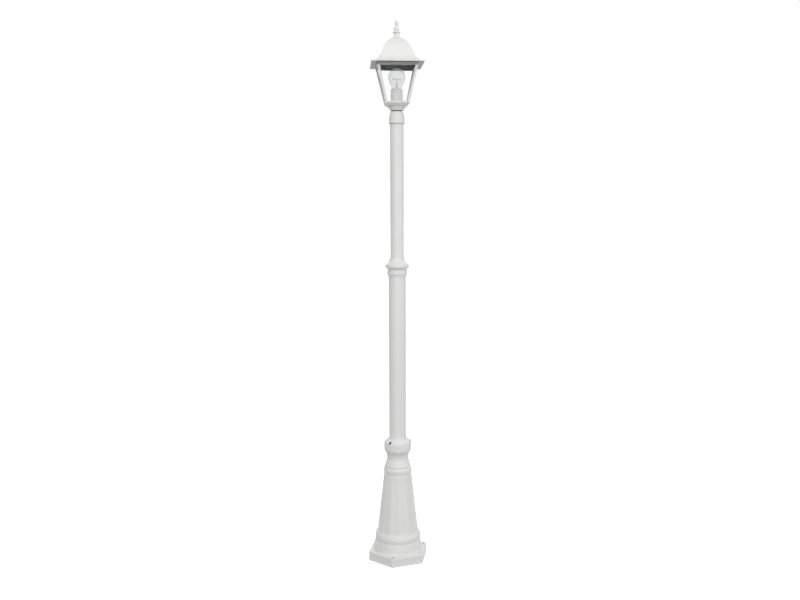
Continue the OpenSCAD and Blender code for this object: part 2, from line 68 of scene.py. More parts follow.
def makeCamera(view):
    # The camera stands on a circle about the axis, faces it, turns down by pitch and right by aside, then rolls
    data = bpy.data.cameras.new("viewCamera")
    data.lens, data.sensor_width = view["lens"], 36
    data.clip_start, data.clip_end = 0.05, 200
    camera = placed("viewCamera", data)
    around = math.radians(view["azimuth"])
    camera.location = (view["distance"] * math.cos(around), view["distance"] * math.sin(around), view["height"])
    facing = Euler((math.radians(90 - view["pitch"]), 0, math.radians(view["azimuth"] + 90 - view["aside"])))
    rolled = facing.to_matrix() @ Matrix.Rotation(math.radians(view["roll"]), 3, "Z")
    camera.rotation_euler = rolled.to_euler()
    bpy.context.scene.camera = camera


makeCamera(cameraView)
print("camera placed")


# Node trees are written as sums and products of wires

class Wire:
    # One socket of a node tree. Sums, differences and products of wires and numbers add Math nodes.
    def __init__(self, finish, socket):
        self.finish, self.socket = finish, socket

    def math(self, operation, *values):
        return self.finish.node("ShaderNodeMath", dict(enumerate(values)), operation=operation)

    def __add__(self, other):
        return self.math("ADD", self, other)

    def __radd__(self, other):
        return self.math("ADD", other, self)

    def __sub__(self, other):
        return self.math("SUBTRACT", self, other)

    def __rsub__(self, other):
        return self.math("SUBTRACT", other, self)

    def __mul__(self, other):
        return self.math("MULTIPLY", self, other)

    def __rmul__(self, other):
        return self.math("MULTIPLY", other, self)

    def __pow__(self, other):
        return self.math("POWER", self, other)

    def __rpow__(self, other):
        return self.math("POWER", other, self)


class Finish:
    # A node tree that is written with wires: a material's, or the world's
    def __init__(self, owner):
        owner.use_nodes = True
        self.owner, self.tree = owner, owner.node_tree
        self.tree.nodes.clear()

    def node(self, kind, sockets=None, out=0, **settings):
        # Any node: settings go on the node, wires are linked to its sockets and other values set on them
        made = self.tree.nodes.new(kind)
        for key, value in settings.items():
            setattr(made, key, value)
        for key, value in (sockets or {}).items():
            if isinstance(value, Wire):
                self.tree.links.new(value.socket, made.inputs[key])
            else:
                made.inputs[key].default_value = value
        return Wire(self, made.outputs[out])

    def place(self):
        # The object's own coordinates, in metres
        return self.node("ShaderNodeTexCoord", out="Object")

    def axis(self, vector, letter):
        # The vector's part along X, Y or Z
        return self.node("ShaderNodeSeparateXYZ", {0: vector}, letter)

    def noise(self, scale, detail=2.0, roughness=0.5):
        return self.node("ShaderNodeTexNoise", {"Vector": self.place(), "Scale": scale, "Detail": detail,
                                                "Roughness": roughness}, "Fac")

    def mixed(self, factor, first, second):
        # The first colour where the factor is 0, the second where it is 1
        return self.node("ShaderNodeMix", {0: factor, 6: first, 7: second}, 2, data_type="RGBA")

    def vector(self, operation, *values, out=0):
        return self.node("ShaderNodeVectorMath", dict(enumerate(values)), out, operation=operation)

    def bump(self, height, distance):
        # A normal tilted by that height, which is given in metres when the distance is 1
        return self.node("ShaderNodeBump", {"Height": height, "Distance": distance, "Strength": 1.0})

    def sheer(self, share, skin, clear=(1, 1, 1, 1)):
        # That share of a glossy skin, and for the rest light let straight through in the colour clear
        glass = self.node("ShaderNodeBsdfPrincipled", skin)
        through = self.node("ShaderNodeBsdfTransparent", {"Color": clear})
        return self.output(self.node("ShaderNodeMixShader", {0: share, 1: through, 2: glass}))

    def shownRay(self):
        # 1 for camera, mirror and glass rays, which see the white backdrop, and 0 for all others
        camera, glossy, through = (self.node("ShaderNodeLightPath", out="Is %s Ray" % ray)
                                   for ray in ("Camera", "Glossy", "Transmission"))
        return camera.math("MAXIMUM", camera.math("MAXIMUM", camera, glossy), through)

    def output(self, surface, kind="ShaderNodeOutputMaterial"):
        # The tree's owner, finished with that surface
        made = self.tree.nodes.new(kind)
        self.tree.links.new(surface.socket, made.inputs["Surface"])
        return self.owner


def newFinish(name):
    # An empty material of that name
    return Finish(bpy.data.materials.new(name))


# Finishes, each with its own look

paintLook = {
    "white": (0.80, 0.80, 0.795, 1),
    "shade": (0.765, 0.765, 0.758, 1),  # the thinner coat between the fuller patches
    "roughness": 0.36, "patchRough": 0.12, "speckRough": 0.06,  # and how far patches and specks move it
    "patchScale": 9.0, "speckScale": 2600.0,
    "peelScale": 620,  # orange peel, per metre
    "peelHeight": 0.00006,
    "coarse": (85.0, 0.00035), "fine": (160.0, 0.00012),  # the grain of castings, per metre, and its height
    "gloss": 0.32,
    "eave": (0.205, 0.205, 0.204, 1),  # painted shade under the eave, on the roof's soffit
    "frame": (0.345, 0.345, 0.343, 1),  # lighter painted shade on the top frame
    "joint": (0.2, 0.2, 0.198, 1),  # painted shade round the foot of the fitter and in the anchor holes
    "inside": (0.035, 0.035, 0.036, 1),  # near-black painted shade inside the roof and frame, in the fitter's groove and in the set-screw holes
}


def paintFinish(name, look, grain=None, shadeBelow=None, paintedShadeUnder=None, paintedShadeWithin=None, bores=()):
    # Powder coat: slow noise drifts the white, fine noise gives orange peel, and coarser noise the casting's grain.
    # Below a height, given with the name of its colour, the colour is a grey of painted shade. Near-black painted
    # shade covers faces that look down above a given height, faces closer to the axis than a given distance, measured
    # square, and bores, each a point, an axis, a radius and the colour of its painted shade.
    f = newFinish(name)
    patches = f.noise(look["patchScale"], 3.0, 0.55)
    peel = f.noise(look["peelScale"], 1.0)
    speck = f.noise(look["speckScale"], 1.0)
    roughness = look["roughness"] + (patches - 0.5) * look["patchRough"] + (speck - 0.5) * look["speckRough"]
    height = peel * look["peelHeight"]
    if grain:
        grainScale, grainHeight = look[grain]
        height = height + f.noise(grainScale, 2.0, 0.6) * grainHeight
    colour = f.mixed(patches, look["shade"], look["white"])
    x, y, z = (f.axis(f.place(), letter) for letter in "XYZ")
    upward = f.axis(f.node("ShaderNodeTexCoord", out="Normal"), "Z")
    # Painted shade: grey below the given height
    if shadeBelow is not None:
        colour = f.mixed(z.math("LESS_THAN", z, shadeBelow[1]), colour, look[shadeBelow[0]])
    # Painted shade: near-black on faces that look down, above the given height
    if paintedShadeUnder is not None:
        shadedDown = z.math("GREATER_THAN", z, paintedShadeUnder) * z.math("LESS_THAN", upward, -0.05)
        colour = f.mixed(shadedDown, colour, look["inside"])
    # Painted shade: near-black closer to the axis than the given distance, measured square
    if paintedShadeWithin is not None:
        reach = x.math("MAXIMUM", x.math("ABSOLUTE", x), y.math("ABSOLUTE", y))
        colour = f.mixed(x.math("LESS_THAN", reach, paintedShadeWithin), colour, look["inside"])
    # Painted shade inside each bore, in its own colour
    for point, direction, radius, shown in bores:
        away = f.vector("SUBTRACT", f.place(), point)
        across = f.vector("LENGTH", f.vector("CROSS_PRODUCT", away, direction), out="Value")
        along = f.vector("DOT_PRODUCT", away, direction, out="Value")
        bored = across.math("LESS_THAN", across, radius) * along.math("GREATER_THAN", along, 0.0)
        colour = f.mixed(bored, colour, look[shown])
    shader = f.node("ShaderNodeBsdfPrincipled", {
        "Base Color": colour,
        "Roughness": roughness,
        "Specular IOR Level": look["gloss"],
        "Normal": f.bump(height, 1.0),
    })
    return f.output(shader)


paneLook = {"tint": (0.93, 0.97, 0.96, 1), "film": 0.012, "edge": 0.4, "rise": 4, "smearScale": 14.0}


def paneFinish(name, look):
    # Clear glass: mostly let through, with a mirror share that grows towards grazing angles and a trace of film
    f = newFinish(name)
    smear = f.noise(look["smearScale"], 3.0, 0.6)
    facing = f.node("ShaderNodeLayerWeight", {"Blend": 0.5}, "Facing")
    share = look["film"] * smear + look["film"] + facing ** look["rise"] * look["edge"]
    return f.sheer(share, {"Base Color": look["tint"], "Roughness": 0.04, "Specular IOR Level": 0.6,
                           "Coat Weight": 0.6, "Coat Roughness": 0.02})


bulbLook = {
    "body": (0.98, 0.98, 0.975, 1), "clear": (0.995, 0.996, 0.996, 1), "film": 0.08, "edge": 0.22, "rise": 2.5,
    "streakScale": 40.0, "crown": 0.6, "crownDeep": 7,  # the glossy share grows by this much towards the crown, over this many millimetres
}


def blownFinish(name, look):
    # Thin blown glass: each wall takes a little light, more of it towards the outline, where it is seen edge on, and
    # towards the crown, where the glossy share grows and the glass looks whiter
    f = newFinish(name)
    streak = f.noise(look["streakScale"], 2.0)
    facing = f.node("ShaderNodeLayerWeight", {"Blend": 0.5}, "Facing")
    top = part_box("bulb_glass")[1].z
    crown = f.node("ShaderNodeMapRange", {0: f.axis(f.place(), "Z"), 1: top - look["crownDeep"] * mm, 2: top,
                                          3: 0.0, 4: look["crown"]})
    share = look["film"] + look["film"] * streak + facing ** look["rise"] * look["edge"] + crown
    return f.sheer(share, {"Base Color": look["body"], "Roughness": 0.08, "Specular IOR Level": 0.5}, look["clear"])


stemLook = {"body": (0.86, 0.86, 0.86, 1), "cloud": (0.74, 0.74, 0.74, 1), "cloudScale": 120.0}


def stemFinish(name, look):
    # The stem's pressed glass: clouded by its seed bubbles, under a bright skin
    f = newFinish(name)
    cloud = f.noise(look["cloudScale"], 3.0)
    shader = f.node("ShaderNodeBsdfPrincipled", {
        "Base Color": f.mixed(cloud, look["cloud"], look["body"]), "Roughness": 0.12 + cloud * 0.1,
        "Coat Weight": 0.6, "Coat Roughness": 0.05})
    return f.output(shader)


porcelainLook = {"body": (0.75, 0.75, 0.745, 1), "cloud": (0.69, 0.69, 0.68, 1), "cloudScale": 60.0,
                 "speckScale": 900.0, "roughness": 0.3, "speckRough": 0.1}


def porcelainFinish(name, look):
    # Glazed ceramic: a hard clear gloss over a slightly speckled body
    f = newFinish(name)
    cloud = f.noise(look["cloudScale"], 3.0)
    speck = f.noise(look["speckScale"], 2.0, 0.7)
    shader = f.node("ShaderNodeBsdfPrincipled", {
        "Base Color": f.mixed(cloud, look["cloud"], look["body"]),
        "Roughness": look["roughness"] + speck * look["speckRough"], "Coat Weight": 0.25, "Coat Roughness": 0.12,
        "Normal": f.bump(cloud, 0.0004)})
    return f.output(shader)


grainLook = {"cloudScale": 35.0, "spread": 0.2, "height": 0.00004}
metalLook = {
    "zincSteel": {"bright": (0.62, 0.63, 0.64, 1), "dull": (0.48, 0.49, 0.5, 1), "roughness": 0.38, "grain": 700.0},
    "capBrass": {"bright": (0.82, 0.74, 0.5, 1), "dull": (0.7, 0.62, 0.42, 1), "roughness": 0.3, "grain": 500.0},
    "blackSteel": {"bright": (0.12, 0.12, 0.12, 1), "dull": (0.06, 0.06, 0.06, 1), "roughness": 0.5, "grain": 900.0},
    "wireMetal": {"bright": (0.42, 0.42, 0.43, 1), "dull": (0.3, 0.3, 0.31, 1), "roughness": 0.35, "grain": 1500.0},
}


def metalFinish(name, look):
    # Bare metal: fine grain varies its roughness and height, and a slow cloud dulls it
    f = newFinish(name)
    grain = f.noise(look["grain"], 2.0, 0.6)
    cloud = f.noise(grainLook["cloudScale"], 3.0)
    shader = f.node("ShaderNodeBsdfPrincipled", {
        "Base Color": f.mixed(cloud, look["dull"], look["bright"]), "Metallic": 1.0,
        "Roughness": look["roughness"] + (grain - 0.5) * grainLook["spread"],
        "Normal": f.bump(grain, grainLook["height"])})
    return f.output(shader)


# Heights in millimetres at which painted shade starts or ends, from the foot of its piece, and distances from the
# axis
paintedShadeLook = {
    "eave": 0.3, "roofInside": 1.5, "frame": 1.0, "frameInside": 60.4,
    "joint": 0.6, "groove": 3.8, "grooveRadius": 19.4,  # the groove is measured down from the fitter's top
}
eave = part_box("roof")[0].z
fitterLow, fitterHigh = (v.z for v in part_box("lantern_fitter"))
# The fitter's groove gets near-black painted shade
grooveBore = ((0, 0, fitterHigh - paintedShadeLook["groove"] * mm), (0, 0, 1), paintedShadeLook["grooveRadius"] * mm, "inside")
tubePaint = paintFinish("tubePaint", paintLook)
finePaint = paintFinish("finePaint", paintLook, "fine")
# Painted shade: grey on the roof's soffit and the frame, near-black inside the roof and frame, grey round the
# fitter's foot
roofPaintShaded = paintFinish("roofPaintShaded", paintLook, "fine", shadeBelow=("eave", eave + paintedShadeLook["eave"] * mm),
                        paintedShadeUnder=eave + paintedShadeLook["roofInside"] * mm)
framePaintShaded = paintFinish("framePaintShaded", paintLook, "fine", shadeBelow=("frame", eave + paintedShadeLook["frame"] * mm),
                         paintedShadeWithin=paintedShadeLook["frameInside"] * mm)
fitterPaintShaded = paintFinish("fitterPaintShaded", paintLook, "fine", shadeBelow=("joint", fitterLow + paintedShadeLook["joint"] * mm),
                          bores=[grooveBore])
paneGlass = paneFinish("paneGlass", paneLook)
bulbGlass = blownFinish("bulbGlass", bulbLook)
stemGlass = stemFinish("stemGlass", stemLook)
porcelain = porcelainFinish("porcelain", porcelainLook)
metals = {name: metalFinish(name, look) for name, look in metalLook.items()}
print("finishes made")


# Grids of points, in millimetres, that become closed shells

def heights(node):
    # The foot and top of a CAD node
    return [corner.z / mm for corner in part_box(node)]


def arcPoints(centre, radius, start, stop, count=12):
    # Points at even angles on a circle about centre, from start to stop in degrees
    turn = np.radians(np.linspace(start, stop, count + 1))
    return np.stack([centre[0] + radius * np.cos(turn), centre[1] + radius * np.sin(turn)], 1)


def curvePoints(a, b, c, d, count=14):
    # Points of a cubic Bezier curve with ends a, d and handles b, c
    t = np.linspace(0, 1, count + 1)[:, None]
    a, b, c, d = (np.asarray(p, float) for p in (a, b, c, d))
    return (1 - t) ** 3 * a + 3 * (1 - t) ** 2 * t * b + 3 * (1 - t) * t * t * c + t ** 3 * d


def plumbRadius(dx, dz):
    # Radius of the arc that leaves a plumb line and stands in by dx after a rise of dz
    return (dx * dx + dz * dz) / (2 * dx)


def softened(outline, radius, closed=True, steps=4, guard=0.4):
    # Each corner becomes a short parabola that touches both of its sides, with a guard point beyond either end
    p = np.asarray(outline, float)
    back, ahead = np.roll(p, 1, 0) - p, np.roll(p, -1, 0) - p
    backLength, aheadLength = (np.hypot(d[:, 0], d[:, 1])[:, None] + 1e-9 for d in (back, ahead))
    back, ahead = back / backLength, ahead / aheadLength
    turn = np.arccos(np.clip(-(back[:, :2] * ahead[:, :2]).sum(1), -1, 1))[:, None]
    shortest = np.minimum(backLength, aheadLength)
    cut = np.minimum(radius * np.tan(turn / 2), 0.4 * shortest)  # so that a short side is never used up
    spare = np.minimum(guard, 0.08 * shortest)
    s = np.linspace(0, 1, steps + 1)[None, :, None]
    start, end, at = (p + back * cut)[:, None], (p + ahead * cut)[:, None], p[:, None]
    bend = (1 - s) ** 2 * start + 2 * s * (1 - s) * at + s * s * end
    rows = np.concatenate([start + (back * spare)[:, None], bend, end + (ahead * spare)[:, None]], 1)
    sharp = turn[:, 0] > math.radians(14)  # points that turn less stay as they are
    if not closed:
        sharp[[0, -1]] = False
    keep = np.repeat(sharp[:, None], steps + 3, 1)
    middle = (steps + 3) // 2
    rows[~sharp, middle] = p[~sharp]
    keep[:, middle] = True
    return rows[keep]


def turnedGrid(outline, count=96):
    # Row i is a circle of the outline's radius i at its height i
    turn = np.linspace(0, 2 * math.pi, count, endpoint=False)
    r, z = np.asarray(outline, float)[:, :2].T
    return np.stack([r[:, None] * np.cos(turn), r[:, None] * np.sin(turn), z[:, None] + 0 * turn], -1)


def squareGrid(outline, corner, steps=5, flats=6, guard=0.6):
    # Row i is a square of half width outline i with round corners, as a sum of weights for half width, radius, guard
    turn = np.radians(np.linspace(0, 90, steps + 1))
    t = np.linspace(-1, 1, flats + 2)[1:-1]
    flat, bend = np.ones_like(t), np.ones_like(turn)
    ofHalf = np.concatenate([np.stack([flat, t], 1), [[1, 1]], np.stack([bend, bend], 1), [[1, 1]]])
    ofRadius = np.concatenate([np.stack([0 * t, -t], 1), [[0, -1]],
                               np.stack([np.cos(turn) - 1, np.sin(turn) - 1], 1), [[-1, 0]]])
    ofGuard = np.concatenate([np.stack([0 * t, 0 * t], 1), [[0, -1]], np.stack([0 * turn, 0 * turn], 1), [[-1, 0]]])
    half, z = np.asarray(outline, float)[:, :2].T
    radius = np.minimum(corner, 0.6 * half)
    spare = np.minimum(guard, 0.2 * (half - radius))
    quarter = (half[:, None, None] * ofHalf + radius[:, None, None] * ofRadius + spare[:, None, None] * ofGuard)
    turned = [quarter]
    for i in range(3):
        last = turned[-1]
        turned.append(np.stack([-last[..., 1], last[..., 0]], -1))
    plan = np.concatenate(turned, 1)
    return np.concatenate([plan, np.broadcast_to(z[:, None, None], plan.shape[:2] + (1,))], -1)


def wireGrid(path, radius, count=8):
    # A rod of that radius carried along a path, on frames that turn as little as they can
    path = np.asarray(path, float)
    along = np.gradient(path, axis=0)
    along /= np.linalg.norm(along, axis=1)[:, None]
    side = np.zeros_like(path)
    start = np.cross(along[0], [0, 0, 1] if abs(along[0][2]) < 0.9 else [1, 0, 0])
    side[0] = start / np.linalg.norm(start)
    for i in range(1, len(path)):
        step = side[i - 1] - along[i] * np.dot(side[i - 1], along[i])
        side[i] = step / np.linalg.norm(step)
    other = np.cross(along, side)
    turn = np.linspace(0, 2 * math.pi, count, endpoint=False)[:, None]
    ring = path[:, None] + radius * (np.cos(turn) * side[:, None] + np.sin(turn) * other[:, None])
    ends = [np.repeat(path[i][None, None], count, 1) for i in (0, -1)]
    return np.concatenate([ends[0], ring, ends[1]], 0)


def shell(points, closeRows=False):
    # The grid's cells as faces: columns always close, rows close on request, and points at one spot are welded
    rows, columns = points.shape[:2]
    index = np.arange(rows * columns).reshape(rows, columns)
    index = np.hstack([index, index[:, :1]])
    if closeRows:
        index = np.vstack([index, index[:1]])
    cells = np.stack([index[:-1, :-1], index[:-1, 1:], index[1:, 1:], index[1:, :-1]], -1).reshape(-1, 4)
    spots = points.reshape(-1, 3) * mm
    _, first, place = np.unique(np.round(spots * 1e7).astype(np.int64), axis=0, return_index=True,
                                return_inverse=True)
    spots, cells = spots[first], place.reshape(-1)[cells]
    same = cells == np.roll(cells, -1, 1)
    quads = cells[same.sum(1) == 0]
    pinched = cells[same.sum(1) == 1]
    at = np.argmax(same[same.sum(1) == 1], 1)[:, None]
    tris = np.take_along_axis(pinched, (at + np.array([[1, 2, 3]])) % 4, 1)
    a, b, c, d = (spots[quads[:, i]] for i in range(4))
    e, f, g = (spots[tris[:, i]] for i in range(3))
    volume = (np.cross(a, b) * c).sum() + (np.cross(a, c) * d).sum() + (np.cross(e, f) * g).sum()
    if volume < 0:  # faces look outwards when the signed volume is positive
        quads, tris = quads[:, ::-1], tris[:, ::-1]
    return spots, quads, tris


def moved(grid, shift=(0, 0, 0), turn=0.0, tilt=None):
    # The grid tilted about Y, shifted, then turned about Z with its shift, with angles in degrees
    g = np.asarray(grid, float)
    if tilt is not None:
        c, s = math.cos(math.radians(tilt)), math.sin(math.radians(tilt))
        g = np.stack([g[..., 0] * c + g[..., 2] * s, g[..., 1], -g[..., 0] * s + g[..., 2] * c], -1)
    c, s = math.cos(math.radians(turn)), math.sin(math.radians(turn))
    shifted = g + np.asarray(shift, float)
    return np.stack([shifted[..., 0] * c - shifted[..., 1] * s, shifted[..., 0] * s + shifted[..., 1] * c,
                     shifted[..., 2]], -1)


sharpFrom = math.radians(38)


def makeMesh(name, shells):
    # All shells in one mesh, smooth but for edges that turn by more than sharpFrom
    spots, faces, base = [], [], 0
    for points, quads, tris in shells:
        spots.append(points)
        faces += (quads + base).tolist() + (tris + base).tolist()
        base += len(points)
    mesh = bpy.data.meshes.new(name)
    mesh.from_pydata(np.concatenate(spots), [], faces)
    mesh.shade_smooth()
    mesh.set_sharp_from_angle(angle=sharpFrom)
    mesh.update()
    return mesh


def addPiece(name, shells, finish, replaces=()):
    # A piece on the part's one body, with its finish and slot, that may stand for a CAD node
    piece = placed(name, makeMesh(name, shells))
    piece.data.materials.append(finish)
    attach(piece, "root")
    if replaces:
        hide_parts(*replaces)
    return piece


def addPainted(name, grid, finish, node, closeRows=True):
    # A painted piece of one shell that stands for a CAD node
    return addPiece(name, [shell(grid, closeRows)], finish, [node])


def refinish(node, finish):
    # A CAD node keeps its shape and gets another finish
    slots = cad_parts[node].data.materials
    slots.clear()
    slots.append(finish)


def drilled(piece, shells):
    # The shells are cut out of the piece, and the cutter is thrown away
    cutter = placed("cutter", makeMesh("cutter", shells))
    cut = piece.modifiers.new("holes", "BOOLEAN")
    cut.operation, cut.solver, cut.object = "DIFFERENCE", "EXACT", cutter
    evaluated = piece.evaluated_get(bpy.context.evaluated_depsgraph_get())
    mesh = bpy.data.meshes.new_from_object(evaluated)
    piece.modifiers.clear()
    piece.data = mesh
    bpy.data.objects.remove(cutter)
    mesh.set_sharp_from_angle(angle=sharpFrom)


def rodGrid(radius, low, high, count=32):
    # A plain round rod between two heights
    return turnedGrid([[0, low], [radius, low], [radius, high], [0, high]], count)


# Base casting

baseLook = {
    "halfWidth": 97.5, "turn": 17, "trim": 2.2,  # the hexagon's half width across flats, turn and rounded corners
    "tread": 5, "step": 1.2, "bevel": 3, "plinth": 33,
    "foot": 85, "footHead": 80.4, "fillet": 1.2, "footPlumb": 6, "footTop": 70.6,
    "torus": 81.4, "belly": 10, "tuck": 8.8, "ledge": 4, "torusTop": 97.6,  # widest at belly, tucked in under it
    "cone": 72.8, "coneHead": 49, "coneTop": 311,
    "flutes": 12, "fluteWide": (27, 18), "fluteDeep": (2.0, 1.5), "fluteFoot": 2.5, "fluteHead": 13, "blend": 0.35,
    "ring": 50.3, "ringArc": 20, "ringBelly": 12, "shoulder": 6, "groove": (1.0, 2.8), "bead": 3.6, "ringTop": 338,
    "waistFoot": 46.2, "waist": 38.2, "sweep": 45, "throat": 32, "spread": 7.6, "waistTop": 392.6,
    "collar": 48.3, "collarArc": 34, "collarBelly": 11, "line": 14.5, "lineDeep": 0.7,
    "crownArc": 10, "crownDrop": 21,
    "wall": 6, "bore": 30.3, "lip": 2, "seat": 336, "leadWay": 25, "web": 12,
    "anchorRadius": 99.98, "anchorHole": 4.2, "anchorSink": 5.6, "sinkDeep": 1.7,
    "screwHole": 4.0, "screwDrop": 14.2, "screwTurn": 94,  # turned this far on from the anchor holes
    "screw": (3.7, 37.5, 7),  # a set screw's radius, its face's distance from the axis, and its length
    "boreSpare": 0.2,  # how far past a hole's wall its painted shade reaches
    "edge": 0.9,
}


def footOutline(look):
    # A filleted foot that leans in on an arc, then a torus on one arc, from its tuck over its belly to the ledge
    low, belly = look["plinth"], look["footTop"] + look["belly"]
    footRise, torusRise = look["footTop"] - low - look["footPlumb"], look["torusTop"] - belly
    footArc = plumbRadius(look["foot"] - look["footHead"], footRise)
    torusArc = plumbRadius(look["torus"] - look["cone"] - look["ledge"], torusRise)
    footTurn = math.degrees(math.asin((footRise - look["fillet"]) / footArc))
    tuckTurn, torusTurn = (math.degrees(math.asin(v / torusArc)) for v in (look["tuck"], torusRise))
    return np.vstack([
        [[look["foot"] + look["fillet"], low], [look["foot"], low + look["fillet"]]],
        arcPoints((look["foot"] - footArc, low + look["footPlumb"]), footArc, 0, footTurn, 14),
        [[look["footHead"] - 1.4, look["footTop"]]],
        arcPoints((look["torus"] - torusArc, belly), torusArc, -tuckTurn, torusTurn, 20)])


def coneOutline(look):
    # A straight taper, with close rows where the flutes start and end
    foot, top, headTop = look["torusTop"], look["coneTop"], look["coneTop"] - look["fluteHead"]
    levels = np.unique(np.concatenate([
        np.arange(foot, foot + 8, 0.8), np.arange(foot + 8, headTop - 14, 4.0),
        np.arange(headTop - 14, headTop + 2, 0.8), np.arange(headTop + 2, top - 2, 2.5), [top]]))
    share = (levels - foot) / (top - foot)
    return np.stack([look["cone"] + (look["coneHead"] - look["cone"]) * share, levels], 1)


def upperOutline(look):
    # A ring with a round shoulder, a groove and a bead, a waist of two arcs that meet at the throat, a collar with a
    # line round it and a round crown, then down the tube's bore to its seat
    high, rise, foot = heights("base_casting")[1], look["ringTop"], look["waistFoot"]
    ring, waist, collar, shoulder = look["ring"], look["waist"], look["collar"], look["shoulder"]
    grooveDeep, grooveDrop = look["groove"]
    throat, throatRise = rise + look["throat"], look["waistTop"] - rise - look["throat"]
    waistArc = plumbRadius(look["spread"], throatRise)
    waistTurn = 180 - math.degrees(math.asin(throatRise / waistArc))
    line, lip = look["waistTop"] + look["line"], look["bore"] + look["lip"]
    return np.vstack([
        [[ring - 1.8, look["coneTop"] + 1.5]],
        arcPoints((ring - look["ringArc"], look["coneTop"] + look["ringBelly"]), look["ringArc"], -18, 10, 8),
        arcPoints((ring - shoulder - 0.3, rise - 11), shoulder, 18, 62, 6),
        [[foot - grooveDeep, rise - grooveDrop]],
        arcPoints((foot + 0.4 - look["bead"], rise + 2.3), look["bead"], -50, 66, 8),
        arcPoints((waist + look["sweep"], throat), look["sweep"], 199, 180, 10),
        arcPoints((waist + waistArc, throat), waistArc, 174, waistTurn, 10),
        [[collar - 1.8, look["waistTop"] + 0.5]],
        arcPoints((collar - look["collarArc"], look["waistTop"] + look["collarBelly"]), look["collarArc"], -15, 0, 6),
        [[collar, line - 1.2], [collar - look["lineDeep"], line], [collar, line + 1.2]],
        arcPoints((collar - look["crownArc"], high - look["crownDrop"]), look["crownArc"], 0, 56, 10),
        [[lip + 1.5, high - 5.5], [lip, high - 4], [lip, high], [look["bore"], high], [look["bore"], look["seat"]],
         [look["leadWay"], look["seat"]], [look["leadWay"], look["seat"] - look["web"]]]])


def baseOutline(look):
    # Rows of radius, height, hexagon share and flute share, up the outside and down the hollow
    half, step, low, wall = look["halfWidth"], look["step"], look["plinth"], look["wall"]
    plinth = [[half, 0], [half, look["tread"]], [half - step, look["tread"] + step],
              [half - step, low - look["bevel"]], [half - step - look["bevel"], low]]
    hollow = [[look["coneHead"] - wall, look["coneTop"]], [look["cone"] - wall, look["torusTop"]],
              [look["footHead"] - wall - 1.4, look["footTop"]], [look["foot"] - wall, low], [look["foot"] - wall, 0]]
    parts = [(plinth, 1, 0), (footOutline(look), 0, 0), (coneOutline(look), 0, 1), (upperOutline(look), 0, 0),
             (hollow, 0, 0)]
    return np.vstack([np.hstack([np.asarray(p, float), np.full((len(p), 1), h), np.full((len(p), 1), f)])
                      for p, h, f in parts])


def baseGrid(look):
    # The hexagon's radius is its half width over the cosine from the nearest flat, cut by a circle at the corners.
    # A flute's radius is that of a leaning tapered cylinder with a round head, joined to the cone by a soft minimum.
    rows = softened(baseOutline(look), look["edge"])
    count = look["flutes"] * 18
    turn = np.radians(look["turn"]) + np.linspace(0, 2 * math.pi, count, endpoint=False)
    r, z, hexShare, fluteShare = (rows[:, i][:, None] for i in range(4))
    fromFlat = np.mod(turn - np.radians(look["turn"]), math.pi / 3) - math.pi / 6
    hexRadius = np.minimum(r / np.cos(fromFlat), r / math.cos(math.pi / 6) - look["trim"])
    radius = (1 - hexShare) * r + hexShare * hexRadius
    share = np.clip((z - look["torusTop"]) / (look["coneTop"] - look["torusTop"]), 0, 1)
    wide = look["fluteWide"][0] + (look["fluteWide"][1] - look["fluteWide"][0]) * share
    deep = look["fluteDeep"][0] + (look["fluteDeep"][1] - look["fluteDeep"][0]) * share
    cutter = (wide ** 2 / 4 + deep ** 2) / (2 * deep)
    fromFlute = np.mod(turn - np.radians(look["turn"]) + math.pi / look["flutes"], 2 * math.pi / look["flutes"])
    across = r * np.sin(fromFlute - math.pi / look["flutes"])
    headZ = look["coneTop"] - look["fluteHead"] - look["fluteWide"][1] / 2
    up = np.maximum(z - headZ, 0) + np.maximum(look["torusTop"] + look["fluteFoot"] - z, 0) * 6
    groove = r + cutter - deep - np.sqrt(np.maximum(cutter ** 2 - across ** 2 - up ** 2, 0))
    fluted = 0.5 * (radius + groove - np.sqrt((radius - groove) ** 2 + look["blend"] ** 2))
    inRange = (fluteShare > 0.5) & (z > look["torusTop"] + 0.2) & (z < look["coneTop"] - 1)
    radius = np.where(inRange, np.minimum(fluted, radius), radius)
    return np.stack([radius * np.cos(turn), radius * np.sin(turn), z + 0 * turn], -1)


def boreAxes(look):
    # Upright axes of the anchor holes at the plinth's corners, and level axes of the set screws in the collar, each
    # with the colour of the painted shade laid inside its hole
    turns = np.radians(look["turn"] + 120 * np.arange(3))
    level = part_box("base_casting")[1].z - look["screwDrop"] * mm
    out = look["anchorRadius"] * mm
    anchor, screw = ((look[hole] + look["boreSpare"]) * mm for hole in ("anchorHole", "screwHole"))
    upright = [((out * math.cos(a), out * math.sin(a), -0.01), (0, 0, 1), anchor, "joint") for a in turns]
    flat = [((0, 0, level), (math.cos(a), math.sin(a), 0), screw, "inside")
            for a in turns + math.radians(look["screwTurn"])]
    return upright + flat


def anchorShells(look):
    # Three countersunk drills: the hole's radius up to the sink's foot, and the sink's from the plinth's top up
    hole, sink, top = look["anchorHole"], look["anchorSink"], look["plinth"]
    drill = turnedGrid([[0, -5], [hole, -5], [hole, top - look["sinkDeep"]], [sink, top + 0.01], [sink, 60], [0, 60]],
                       32)
    return [shell(moved(drill, (look["anchorRadius"], 0, 0), look["turn"] + 120 * i)) for i in range(3)]


def collarShells(look, grid):
    # The upright grid laid level and facing outwards, at each of the collar's three set screws
    level = heights("base_casting")[1] - look["screwDrop"]
    return [shell(moved(grid, (0, 0, level), look["turn"] + look["screwTurn"] + 120 * i, 90)) for i in range(3)]


